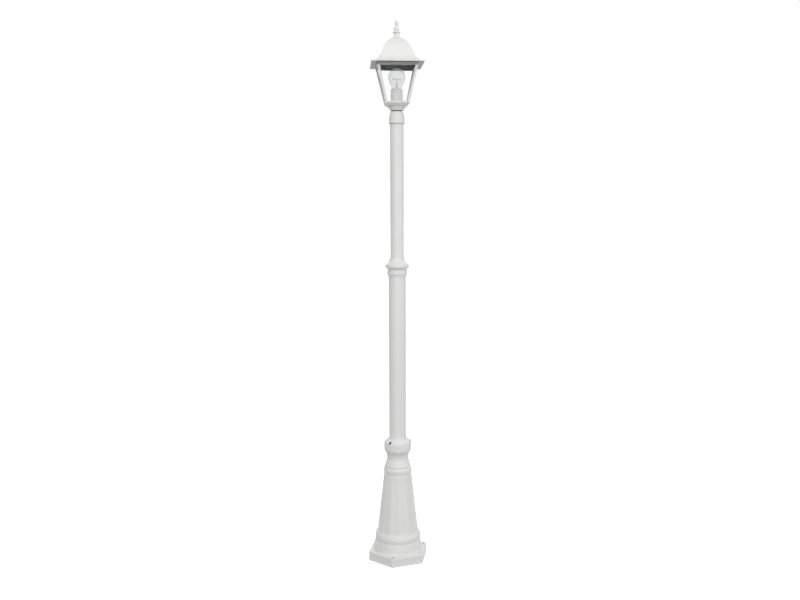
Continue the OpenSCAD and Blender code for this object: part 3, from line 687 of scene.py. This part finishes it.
def setScrewGrid(radius, face, length):
    # A headless screw: a short rod with a six-sided socket sunk in its outer end
    turn = np.linspace(0, 2 * math.pi, 24, endpoint=False)
    hexagon = np.where(np.arange(24) % 4 == 0, 1.0, 0.9) * radius * 0.55
    rows = [(0, face - length), (radius, face - length), (radius, face - 0.4), (radius - 0.4, face)]
    ringRows = [np.stack([r * np.cos(turn), r * np.sin(turn), z + 0 * turn], -1) for r, z in rows]
    ringRows += [np.stack([k * hexagon * np.cos(turn), k * hexagon * np.sin(turn), z + 0 * turn], -1)
                 for k, z in ((1, face), (1, face - 3), (0, face - 3))]
    return np.stack(ringRows)


# The anchor holes and set-screw holes get painted shade
castPaintShaded = paintFinish("castPaintShaded", paintLook, "coarse", bores=boreAxes(baseLook))
castBase = addPainted("castBase", baseGrid(baseLook), castPaintShaded, "base_casting")
drilled(castBase, anchorShells(baseLook) + collarShells(baseLook, rodGrid(baseLook["screwHole"], 24, 60)))
addPiece("setScrews", collarShells(baseLook, setScrewGrid(*baseLook["screw"])), metals["blackSteel"])
print("base casting made")


# Tubes and middle collar

tubeLook = {"wall": 2.0, "edge": 0.5}


def tubeGrid(node, look):
    # A straight pipe with soft ends, sized by the CAD node's box
    low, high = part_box(node)
    r = high.x / mm
    return turnedGrid(softened([[r, low.z / mm], [r, high.z / mm], [r - look["wall"], high.z / mm],
                                [r - look["wall"], low.z / mm]], look["edge"]), 96)


addPainted("lowerTube", tubeGrid("lower_tube", tubeLook), tubePaint, "lower_tube")
addPainted("upperTube", tubeGrid("upper_tube", tubeLook), tubePaint, "upper_tube")

collarLook = {
    "lowLip": 31.9, "highLip": 24.9, "secondBand": 34.8, "band": 41.4, "bandHeight": 7, "coneHeight": 29,
    "lowBore": 30.3, "highBore": 23.3, "socket": 40, "web": 6, "leadWay": 19, "edge": 0.6,
}


def collarGrid(look):
    # A bell between two tube sizes: lip, round band, cove, wide band, curved shoulder and upper lip, with two bores
    low, high = heights("middle_collar")
    top, second, wide = high - look["coneHeight"], look["secondBand"], look["band"]
    band, seat, web = top - look["bandHeight"], low + look["socket"], low + look["socket"] + look["web"]
    outline = np.vstack([
        [[look["lowLip"], low], [look["lowLip"], low + 4], [second - 1, low + 7]],
        arcPoints((second - 12, low + 13), 12, -26, 26, 10),
        arcPoints((second + 3.5, band - 8.5), 4.5, 180, 95, 8),
        [[wide - 1, band - 1.5], [wide, band], [wide, top], [wide - 1.5, top + 2]],
        curvePoints((wide - 4.5, top + 4.5), (wide - 8, top + 9), (look["highLip"] + 3, top + 7),
                    (look["highLip"] + 3.2, top + 15)),
        [[look["highLip"], high - 5], [look["highLip"], high], [look["highBore"], high],
         [look["highBore"], web], [look["leadWay"], web], [look["leadWay"], seat], [look["lowBore"], seat],
         [look["lowBore"], low]]])
    return turnedGrid(softened(outline, look["edge"]), 128)


addPainted("midCollar", collarGrid(collarLook), finePaint, "middle_collar")
print("tubes and collar made")


# Lantern fitter, neck and tray

fitterLook = {"radius": 27.0, "top": 20.5, "bore": 23.3, "socket": 20.5, "way": 6, "groove": (3.2, 2.6), "edge": 0.4}


def fitterGrid(look):
    # A barrel that swells to its foot, with a small bead at its lower edge and a groove round its top
    low, high = heights("lantern_fitter")
    r, top, (tall, deep) = look["radius"], look["top"], look["groove"]
    outline = np.vstack([
        [[r - 1.4, low]], arcPoints((r - 1, low + 2.5), 1, -60, 60, 6),
        curvePoints((r - 0.8, low + 8), (r - 0.5, low + 22), (r - 2.2, low + 30), (top + 1.6, high - tall - 1), 16),
        [[top + 0.6, high - tall], [top - deep, high - tall], [top - deep, high], [look["way"], high],
         [look["way"], high - 6], [top - 3, high - 6], [top - 3, low + look["socket"]],
         [look["bore"], low + look["socket"]], [look["bore"], low]]])
    return turnedGrid(softened(outline, look["edge"]), 112)


neckLook = {"band": 24.2, "flange": 28.4, "foot": 22.4, "way": 6, "rise": 4.5, "edge": 0.4}


def neckGrid(look):
    # A cup that flares to a flange, let into the tray's underside by its rise
    low, high = heights("lantern_neck")
    r, flange, top = look["band"], look["flange"], high + look["rise"]
    outline = np.vstack([
        [[look["way"], low], [look["foot"], low], [r - 0.6, low + 1.2], [r, low + 2.4], [r + 0.3, low + 3.6]],
        curvePoints((r + 0.3, low + 4.6), (r + 0.6, low + 6.4), (flange - 2.5, low + 6.8), (flange - 0.4, low + 8),
                    8),
        [[flange, low + 8.8], [flange, top], [look["way"], top]]])
    return turnedGrid(softened(outline, look["edge"]), 112)


trayLook = {"half": 42.5, "under": 32.5, "lip": 4.5, "rise": 4.5, "rim": 8, "floor": 6.9, "corner": 1.6, "edge": 0.7}


def trayGrid(look):
    # A square dish: an underside that rounds up to a short upright lip, a flat rim and a sunk floor
    low, high = heights("lantern_tray")
    half, bend, bottom, floor = look["half"], high - look["lip"], low + look["rise"], low + look["floor"]
    outline = np.vstack([
        [[0, bottom], [look["under"] - 1, bottom]],
        curvePoints((look["under"], bottom + 0.3), (look["under"] + 2.5, bottom + 3.2), (half - 2.0, bend - 4.4),
                    (half, bend), 14),
        [[half, high], [half - look["rim"], high], [half - look["rim"] - 0.6, floor + 6],
         [half - look["rim"] - 2.4, floor], [0, floor]]])
    return squareGrid(softened(outline, look["edge"], closed=False), look["corner"])


addPainted("fitterCasting", fitterGrid(fitterLook), fitterPaintShaded, "lantern_fitter")
addPainted("neckCasting", neckGrid(neckLook), finePaint, "lantern_neck")
addPainted("trayCasting", trayGrid(trayLook), finePaint, "lantern_tray", False)
print("fitter, neck and tray made")


# Posts, top frame and panes

postLook = {"foot": 42.2, "lean": 12.9, "into": 2.0, "thick": 3.0, "leg": (8.5, 9.0), "edge": 0.55}


def postGrid(look):
    # An angle section whose corner follows the lantern's leaning corner line, closed by fans at both ends
    low, high = heights("post_front_right")
    high += look["into"]
    rows, thick = [], look["thick"] / math.cos(math.radians(look["lean"]))
    for share in (0.0, 0.004, 0.5, 0.996, 1.0):
        z = low + (high - low) * share
        h = look["foot"] + (z - low) * math.tan(math.radians(look["lean"]))
        leg = look["leg"][0] + (look["leg"][1] - look["leg"][0]) * share
        section = softened([[h, -h + leg], [h, -h], [h - leg, -h], [h - leg, -h + thick], [h - thick, -h + thick],
                            [h - thick, -h + leg]], look["edge"])
        rows.append(np.hstack([section, np.full((len(section), 1), z)]))
        if share in (0.0, 1.0):
            heart = np.broadcast_to([h - thick / 2, -h + thick / 2, z], rows[-1].shape)
            rows.insert(len(rows) if share else 0, heart)
    return np.stack(rows)


for i, (end, side) in enumerate((("Front", "Right"), ("Back", "Right"), ("Back", "Left"), ("Front", "Left"))):
    addPainted("post" + end + side, moved(postGrid(postLook), turn=90 * i), finePaint,
               "post_%s_%s" % (end.lower(), side.lower()), False)

frameLook = {"open": 60, "rise": 1.8, "corner": (2.2, 1.0), "edge": 0.5}


def frameGrid(look):
    # A flat square ring with a bevelled foot, round its square opening
    low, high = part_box("top_frame")
    half, bottom, top, inner = high.x / mm, low.z / mm + look["rise"], high.z / mm, look["open"]
    outline = softened([[half - 1, bottom], [half, bottom + 1], [half, top], [inner, top], [inner, bottom]],
                       look["edge"])
    corner = np.where(outline[:, 0] > inner + 2, look["corner"][0], look["corner"][1])
    return squareGrid(outline, corner)


addPainted("topFrame", frameGrid(frameLook), framePaintShaded, "top_frame")
for side in ("front", "right", "back", "left"):
    refinish("glass_" + side, paneGlass)
print("posts, frame and panes made")


# Roof and finial

roofLook = {
    "eaveEdge": 3.5, "eaveSlope": 8, "slope": 65, "crownSlope": 26, "flare": 31, "steep": 16, "crown": 27,
    "wall": 2.5, "open": 65.5, "corner": 1.8, "edge": 0.7,
}


def ogeePoints(look, half, base, inset):
    # A concave arc from the eave, a straight steep part and a convex arc to the crown, all moved inwards by inset
    slope, low, high = (math.radians(look[k]) for k in ("slope", "eaveSlope", "crownSlope"))
    flareArc = look["flare"] / (math.sin(slope) - math.sin(low))
    crownArc = look["crown"] / (math.sin(slope) - math.sin(high))
    steepX = half - look["flare"] - look["steep"]
    steepZ = base + look["eaveEdge"] + flareArc * (math.cos(low) - math.cos(slope)) + look["steep"] * math.tan(slope)
    flareCentre = (half - look["flare"] + flareArc * math.sin(slope),
                   base + look["eaveEdge"] + flareArc * math.cos(low))
    crownCentre = (steepX - crownArc * math.sin(slope), steepZ - crownArc * math.cos(slope))
    return np.vstack([
        arcPoints(flareCentre, flareArc + inset, -90 - look["eaveSlope"], -90 - look["slope"], 24),
        arcPoints(crownCentre, crownArc - inset, 90 - look["slope"], 90 - look["crownSlope"], 24)])


def roofGrid(look):
    # The ogee as a square shell: up the outside, over the crown, and down the inside to the open underside
    low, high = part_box("roof")
    half, base = high.x / mm, low.z / mm
    outer, inner = ogeePoints(look, half, base, 0), ogeePoints(look, half, base, look["wall"])
    inner = inner[inner[:, 0] < look["open"] - 1]
    outline = np.vstack([[[look["open"], base], [half, base]], outer, [[0, outer[-1, 1]]]])
    inside = np.vstack([[[0, inner[-1, 1]]], inner[::-1], [[look["open"], base + 2]]])
    whole = np.vstack([softened(outline, look["edge"], closed=False), softened(inside, look["edge"], closed=False)])
    return squareGrid(whole, look["corner"], flats=10)


addPainted("roofShell", roofGrid(roofLook), roofPaintShaded, "roof")

finialLook = {
    "seat": 14.5, "neck": 9.0, "flange": 13.4, "belly": 9.4, "bud": 6.3, "edge": 0.5,
    "turnings": 18, "bellyShare": 0.62,  # the belly's share of the spire above its turnings
}


def seatGrid(look):
    # A coved foot that narrows to a plain neck and opens to a small cap
    low, high = heights("finial_seat")
    neck = look["neck"]
    outline = np.vstack([
        [[0, low], [look["seat"], low], [look["seat"], low + 1.5]],
        curvePoints((look["seat"] - 1, low + 2.3), (neck + 1.6, low + 4.5), (neck + 0.4, low + 9),
                    (neck, low + 13), 12),
        [[neck, high - 3], [neck + 1.6, high], [0, high]]])
    return turnedGrid(softened(outline, look["edge"], closed=False), 72)


def spireGrid(look):
    # A round flange, a vase-shaped belly and a pointed bud
    low, high = heights("finial_spire")
    belly, bud, swell = look["belly"], look["bud"], (high - low - look["turnings"]) * look["bellyShare"]
    outline = np.vstack([
        [[0, low], [look["flange"] - 1, low]],
        arcPoints((look["flange"] - 2, low + 2), 2, -60, 60, 8),
        [[belly - 1, low + 5.5]],
        curvePoints((belly - 1, low + 6.5), (belly + 1.2, low + 6.5 + swell * 0.35),
                    (belly, low + 6.5 + swell * 0.75), (bud - 1.2, low + 6.5 + swell), 16),
        curvePoints((bud - 2, low + 9 + swell), (bud + 1.6, low + 13 + swell), (bud, high - 4), (1, high), 16),
        [[0, high]]])
    return turnedGrid(softened(outline, look["edge"], closed=False), 72)


addPainted("finialSeat", seatGrid(finialLook), finePaint, "finial_seat", False)
addPainted("finialSpire", spireGrid(finialLook), finePaint, "finial_spire", False)
print("roof and finial made")


# Lamp

holderLook = {"foot": 18.8, "radius": 20.8, "bore": 14.2, "depth": 36, "edge": 0.6}


def holderGrid(look):
    # A porcelain barrel on a smaller foot, with a sunk ring round the thread's bore
    low, high = heights("lampholder")
    r = look["radius"]
    outline = [[0, low], [look["foot"], low], [look["foot"], low + 6], [r, low + 8], [r, low + 9], [r, high - 16],
               [r - 0.5, high - 15.4], [r - 0.5, high - 14], [r, high - 13.4], [r, high - 1.5], [r - 1.5, high],
               [r - 2.6, high], [r - 2.6, high - 6], [look["bore"], high - 6], [look["bore"], high - look["depth"]],
               [0, high - look["depth"]]]
    return turnedGrid(softened(outline, look["edge"], closed=False), 96)


bulbShape = {"radius": 30, "neckTurn": 24, "capRadius": 13.2, "wall": 0.9}


def bulbOutline(look, inset):
    # The neck's Bezier curve, then an arc over the crown, inset by the wall for the inside
    low, high = heights("bulb_glass")
    r, cap = look["radius"], look["capRadius"]
    middle, turn = high - r, math.radians(look["neckTurn"])
    return np.vstack([
        curvePoints((cap - inset, low), (cap + 0.5 - inset, low + 14), (r * 0.72 - inset, low + 15),
                    ((r - inset) * math.cos(turn), middle - (r - inset) * math.sin(turn)), 16),
        arcPoints((0, middle), r - inset, 4 - look["neckTurn"], 90, 28)])


def bulbGrid(look):
    # Up the outside and down the inside, closed at the neck
    return turnedGrid(np.vstack([bulbOutline(look, 0), bulbOutline(look, look["wall"])[::-1]]), 72)


stemShape = {
    "flare": 8, "neck": 3, "bead": 2.2, "leadSpread": 13, "filamentRise": 14, "wire": 0.45,
    "thread": 0.22, "coilRadius": 0.7, "coilTurns": 60, "sag": 1.6,  # the thread sags this far between its hooks
}


def stemGrid(look):
    # A flared glass foot drawn up to a thin rod with a bead on top
    low, high = heights("bulb_stem")
    outline = np.vstack([
        [[0, low], [look["flare"], low]],
        curvePoints((look["flare"] - 1, low + 1), (look["neck"] + 1, low + 4), (look["neck"], low + 8),
                    (look["neck"] - 0.4, low + 24), 12),
        [[1.2, low + 28], [1.1, high - 5]],
        arcPoints((0, high - look["bead"]), look["bead"], -50, 90, 10)])
    return turnedGrid(softened(outline, 0.4, closed=False), 40)


def filamentShells(look):
    # Two lead wires rise and part from the stem, hooks stand round its bead, and a fine coil runs in a half ring
    # between them
    low, high = heights("bulb_stem")
    level, spread = low + 30 + look["filamentRise"], look["leadSpread"]
    leads = [curvePoints((side * 2, 0, low + 20), (side * 3, 0, low + 30), (side * spread, 0, level - 14),
                         (side * spread, 0, level), 14) for side in (-1, 1)]
    hooks = [curvePoints((0, 0, high - 2.5), (0.4 * spread * math.cos(a), 0.4 * spread * math.sin(a), high - 2),
                         (0.8 * spread * math.cos(a), 0.8 * spread * math.sin(a), level - 4),
                         (spread * math.cos(a), spread * math.sin(a), level), 10)
             for a in np.radians([45, 90, 135])]
    t = np.linspace(0, 1, 420)
    around, coil, thick = np.pi * t, 2 * np.pi * look["coilTurns"] * t, look["coilRadius"]
    sag = look["sag"] * np.sin(4 * np.pi * t) ** 2
    reach = spread + thick * np.cos(coil)
    thread = np.stack([reach * np.cos(around), reach * np.sin(around), level - sag + thick * np.sin(coil)], -1)
    wires = [shell(wireGrid(path, look["wire"])) for path in leads + hooks]
    return wires, [shell(wireGrid(thread, look["thread"], 6))]


strapLook = {"edge": 0.4, "screw": 3.4, "screwHigh": 2.2, "screwOut": 27}


def strapGrid(look):
    # A flat bar with rounded ends, as a grid of sections along its length
    low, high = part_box("holder_strap")
    x0, x1, w, z0, z1 = low.x / mm, high.x / mm, high.y / mm, low.z / mm, high.z / mm
    section = softened([[-1, z0], [1, z0], [1, z1], [-1, z1]], look["edge"], guard=0.05)
    inset, trim = np.array([0.0, 0.3, 1.2, 3.0]), np.array([3, 2.0, 0.8, 0])  # a rounded end, along and across
    x = np.concatenate([x0 + inset, x1 - inset[::-1]])
    half = w - np.concatenate([trim, trim[::-1]])
    grid = np.stack([x[:, None] + 0 * section[:, 0], half[:, None] * section[:, 0],
                     section[:, 1] + 0 * x[:, None]], -1)
    ends = [np.broadcast_to([x[i], 0, (z0 + z1) / 2], grid[:1].shape) for i in (0, -1)]
    return np.concatenate([ends[0], grid, ends[1]])


def screwHeadGrid(radius, low, height):
    # A pan head with a slot pressed into its crown along X
    turn = np.linspace(0, 2 * math.pi, 32, endpoint=False)
    share = np.array([1.0, 1.0, 0.96, 0.85, 0.6, 0.3, 0.0])  # of the radius, from the rim to the middle
    level = low + height * np.array([0, 0.3, 0.6, 0.85, 0.97, 1.0, 1.0])
    x, y = (radius * share[:, None] * f(turn) for f in (np.cos, np.sin))
    slot = np.where((np.abs(y) < 0.22 * radius) & (share[:, None] < 0.9), 0.45 * height, 0)
    return np.concatenate([np.broadcast_to([0, 0, low], (1, 32, 3)), np.stack([x, y, level[:, None] - slot], -1)])


addPiece("lampSocket", [shell(holderGrid(holderLook))], porcelain, ["lampholder"])
addPiece("bulbEnvelope", [shell(bulbGrid(bulbShape), True)], bulbGlass, ["bulb_glass"])
addPiece("bulbStem", [shell(stemGrid(stemShape))], stemGlass, ["bulb_stem"])
leadShells, threadShells = filamentShells(stemShape)
addPiece("filamentLeads", leadShells, metals["wireMetal"])
addPiece("filamentThread", threadShells, metals["wireMetal"])
addPiece("holderStrap", [shell(strapGrid(strapLook))], metals["zincSteel"], ["holder_strap"])
strapHead = screwHeadGrid(strapLook["screw"], heights("holder_strap")[1], strapLook["screwHigh"])
addPiece("strapScrews", [shell(moved(strapHead, (side * strapLook["screwOut"], 0, 0))) for side in (-1, 1)],
         metals["zincSteel"])
refinish("bulb_cap", metals["capBrass"])
print("lamp made")


# Floor, world and lights

studioLook = {
    "floorWhite": 0.8, "floorLift": 0.75, "floorBounce": 0.26, "floorReach": 60.0,
    "world": 0.535,
    "lampSize": 1.6, "lampReach": 3.6, "aim": 1.0,  # each lamp's width, and how far it is from a point how high up
    "lamps": {  # where it stands round the axis, how high it is seen from there, and its power
        "front": (-93, 2, 41), "above": (-93, 55, 30.3), "left": (-150, 2, 4.2), "right": (-30, 2, 12.4),
        "side": (0, 2, 9.3), "back": (90, 30, 20),
    },
}


def makeFloor(look):
    # A wide plane that shows white to camera, mirror and glass rays, keeps its shadow, and bounces less light
    f = newFinish("floorWhite")
    white = f.node("ShaderNodeBsdfDiffuse", {"Color": (look["floorWhite"],) * 3 + (1,)})
    lift = f.node("ShaderNodeEmission", {"Color": (1, 1, 1, 1), "Strength": look["floorLift"]})
    shown = f.node("ShaderNodeAddShader", {0: white, 1: lift})
    bounce = f.node("ShaderNodeBsdfDiffuse", {"Color": (look["floorBounce"],) * 3 + (1,)})
    material = f.output(f.node("ShaderNodeMixShader", {0: f.shownRay(), 1: bounce, 2: shown}))
    mesh = bpy.data.meshes.new("studioFloor")
    reach = look["floorReach"]
    mesh.from_pydata([(-reach, -reach, 0), (reach, -reach, 0), (reach, reach, 0), (-reach, reach, 0)], [],
                     [(0, 1, 2, 3)])
    mesh.materials.append(material)
    placed("studioFloor", mesh)


def makeWorld(look):
    # White to camera, mirror and glass rays, and a soft grey light for everything else
    world = bpy.data.worlds.new("studioWorld")
    bpy.context.scene.world = world
    f = Finish(world)
    strength = f.shownRay() * (1 - look["world"]) + look["world"]
    backdrop = f.node("ShaderNodeBackground", {"Color": (1, 1, 1, 1), "Strength": strength})
    f.output(backdrop, "ShaderNodeOutputWorld")


def makeLamp(name, look, around, above, power):
    # A square lamp on a sphere about the aim, from its two angles, faces the aim
    data = bpy.data.lights.new(name, "AREA")
    data.shape, data.energy, data.size = "SQUARE", power, look["lampSize"]
    lamp = placed(name, data)
    a, e, aim = math.radians(around), math.radians(above), Vector((0, 0, look["aim"]))
    away = Vector((math.cos(e) * math.cos(a), math.cos(e) * math.sin(a), math.sin(e)))
    lamp.location = aim + look["lampReach"] * away
    lamp.rotation_euler = (aim - lamp.location).to_track_quat("-Z", "Y").to_euler()


makeFloor(studioLook)
makeWorld(studioLook)
for lampName, (lampAround, lampAbove, lampPower) in studioLook["lamps"].items():
    makeLamp(lampName, studioLook, lampAround, lampAbove, lampPower)
bpy.context.scene.view_settings.view_transform = "Standard"
print("floor, world and lights made")
